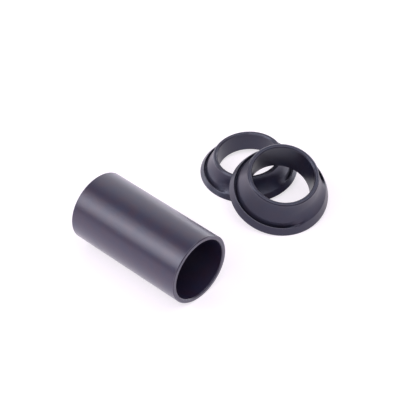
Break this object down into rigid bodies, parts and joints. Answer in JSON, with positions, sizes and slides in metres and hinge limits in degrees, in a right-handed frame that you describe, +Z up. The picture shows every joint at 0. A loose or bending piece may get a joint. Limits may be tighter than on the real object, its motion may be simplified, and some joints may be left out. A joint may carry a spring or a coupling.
{
  "type": "bottom bracket spacer set",
  "caption": "Spacer set of a press-in bicycle bottom bracket: a plain tube spacer lying on its side and a tall cone spacer leaning on a short one.",
  "frame": {"origin": "on the bench, under the middle of the whole set", "axes": "+X along the tube spacer's axis towards the end that faces the viewer, +Y from the tube spacer to the cone spacers, +Z up from the bench"},
  "size_m": [0.055, 0.0912, 0.0255],
  "materials": {
    "anodised_tube": "satin black anodised, fine turning marks",
    "anodised_cone": "satin black anodised, fine turning marks"
  },
  "bodies": {
    "short_cone": {"short_cone_spacer": "anodised_cone"},
    "tall_cone": {"tall_cone_spacer": "anodised_cone"},
    "tube": {"tube_spacer": "anodised_tube"}
  },
  "joints": [
    {"name": "tall_cone_lift", "type": "slide", "parent": "short_cone", "child": "tall_cone", "axis": [0.3025, -0.1839, 0.9352], "range_m": [0, 0.03]},
    {"name": "tube_lift", "type": "slide", "parent": "short_cone", "child": "tube", "axis": [0, 0, 1], "range_m": [0, 0.04]}
  ]
}
